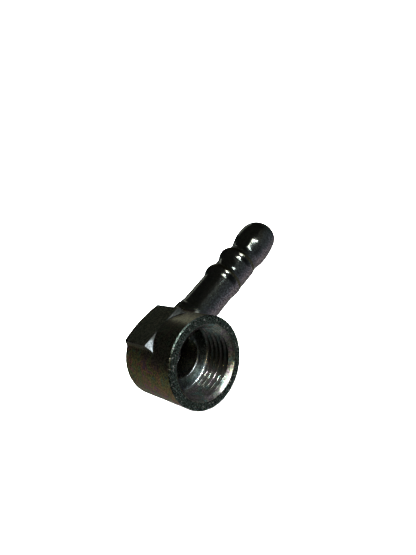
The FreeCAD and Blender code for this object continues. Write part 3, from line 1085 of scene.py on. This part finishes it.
def area_light(name, place, target, width, height, power, tint):
    """A soft rectangular light, turned to look at its target"""
    data = bpy.data.lights.new(name, "AREA")
    data.shape = "RECTANGLE"
    data.size = width
    data.size_y = height
    data.energy = power
    data.color = tint
    light = bpy.data.objects.new(name, data)
    bpy.context.scene.collection.objects.link(light)
    look = Vector(target) - Vector(place)
    light.matrix_world = Matrix.Translation(place) @ look.to_track_quat("-Z", "Y").to_matrix().to_4x4()
    return light


def hang_lights():
    """The studio's lights; the overhead one lights the floor and isn't mirrored in the metal"""
    lights = {row[0]: area_light(*row) for row in LIGHTS}
    lights["overhead"].visible_glossy = False


def floor_paint(tone):
    """Plain pale paint of the floor and the backdrop"""
    paint = bpy.data.materials.new("pale_floor")
    paint.use_nodes = True
    shader = paint.node_tree.nodes["Principled BSDF"]
    shader.inputs["Base Color"].default_value = tone
    shader.inputs["Roughness"].default_value = 0.8
    return paint


def lay_floor(tone):
    """A flat floor, and round it a bowl that closes the view but stays out of the metal's reflections"""
    edge = 0.4
    bend = 0.3
    top = 0.85
    bend_steps = 16
    bottom = CAD_BOX[0][2]
    paint = floor_paint(tone)
    bowl = arc((edge, bottom + bend), bend, -90.0, 0.0, bend_steps) + [(edge + bend, top)]
    for name, profile in (("floor", [(0.0, bottom), (edge, bottom)]), ("backdrop", bowl)):
        piece = extruded_line(name, [(r, 0.0, z) for r, z in profile])
        edit_all()
        bpy.ops.mesh.spin(
            steps=STAGE_STEPS, angle=2 * math.pi, center=(0.0, 0.0, 0.0), axis=(0.0, 0.0, 1.0))
        close_up(merge=STAGE_MERGE, inside=True)
        bpy.ops.object.mode_set(mode="OBJECT")
        bpy.ops.object.shade_smooth()
        piece.data.materials.append(paint)
        piece.visible_glossy = False


def studio_air():
    """What the metal mirrors: a pale floor that fades into a dark room, darker still behind the camera"""
    world = bpy.data.worlds.new("studio")
    world.use_nodes = True
    tree = world.node_tree
    direction = tree.nodes.new("ShaderNodeTexCoord").outputs["Generated"]
    height = node(tree, "ShaderNodeSeparateXYZ", {0: direction}).outputs[2]
    level = node(tree, "ShaderNodeMapRange", {0: height, 1: -1.0, 2: 1.0}).outputs[0]
    greys = ((0.08, 0.6), (0.25, 0.38), (0.4, 0.25), (0.5, 0.15), (0.6, 0.09), (0.72, 0.028), (1.0, 0.04))
    room = ramp(tree, level, [(place, (grey, grey, grey, 1.0)) for place, grey in greys])
    facing = node(tree, "ShaderNodeVectorMath", {0: direction, 1: CAMERA_SIDE}, operation="DOT_PRODUCT")
    dark = ease(tree, facing.outputs["Value"], 0.5, 0.9, 0.0, 0.7)
    room = mix(tree, dark, room, (0.0, 0.0, 0.0, 1.0))
    tree.links.new(room, tree.nodes["Background"].inputs["Color"])
    return world


def set_camera(scene):
    """The camera, where it stood for the photograph"""
    data = bpy.data.cameras.new("camera")
    data.sensor_fit = "AUTO"
    data.sensor_width = CAMERA_SENSOR
    data.lens = CAMERA_LENS
    data.clip_start = CAMERA_NEAR
    camera = bpy.data.objects.new("camera", data)
    scene.collection.objects.link(camera)
    turn = Matrix((CAMERA_RIGHT, CAMERA_UP, CAMERA_BACK)).transposed().to_4x4()
    camera.matrix_world = Matrix.Translation(CAMERA_PLACE) @ turn
    scene.camera = camera


class ELBOW_OT_stage(bpy.types.Operator):
    """Make the pale floor, the studio lights and the camera"""

    bl_idname = "elbow.stage"
    bl_label = "Make Stage"

    def execute(self, context):
        lay_floor(opaque_colours()["floor"])
        context.scene.world = studio_air()
        hang_lights()
        set_camera(context.scene)
        context.scene.view_settings.view_transform = "Standard"
        return {"FINISHED"}


class ELBOW_PT_panel(bpy.types.Panel):
    """Sizes and colours of the fitting and the buttons that make it"""

    bl_idname = "ELBOW_PT_panel"
    bl_label = "Gas Elbow"
    bl_space_type = "VIEW_3D"
    bl_region_type = "UI"
    bl_category = "Gas Elbow"

    def draw(self, context):
        layout = self.layout
        layout.operator(ELBOW_OT_fitting.bl_idname)
        layout.operator(ELBOW_OT_stage.bl_idname)
        for name in ElbowSizes.__annotations__:
            layout.prop(context.scene.elbow_sizes, name)
        for name in ElbowColours.__annotations__:
            layout.prop(context.scene.elbow_colours, name)


CLASSES = (ElbowSizes, ElbowColours, ELBOW_OT_fitting, ELBOW_OT_stage, ELBOW_PT_panel)


def register():
    """Registers the classes and hangs the sizes and colours on the scene"""
    for item in CLASSES:
        bpy.utils.register_class(item)
    bpy.types.Scene.elbow_sizes = PointerProperty(type=ElbowSizes)
    bpy.types.Scene.elbow_colours = PointerProperty(type=ElbowColours)


def unregister():
    """Takes the sizes, the colours and the classes away again"""
    del bpy.types.Scene.elbow_colours
    del bpy.types.Scene.elbow_sizes
    for item in reversed(CLASSES):
        bpy.utils.unregister_class(item)


def main():
    register()
    bpy.ops.elbow.fitting()
    bpy.ops.elbow.stage()


if __name__ == "__main__":
    main()
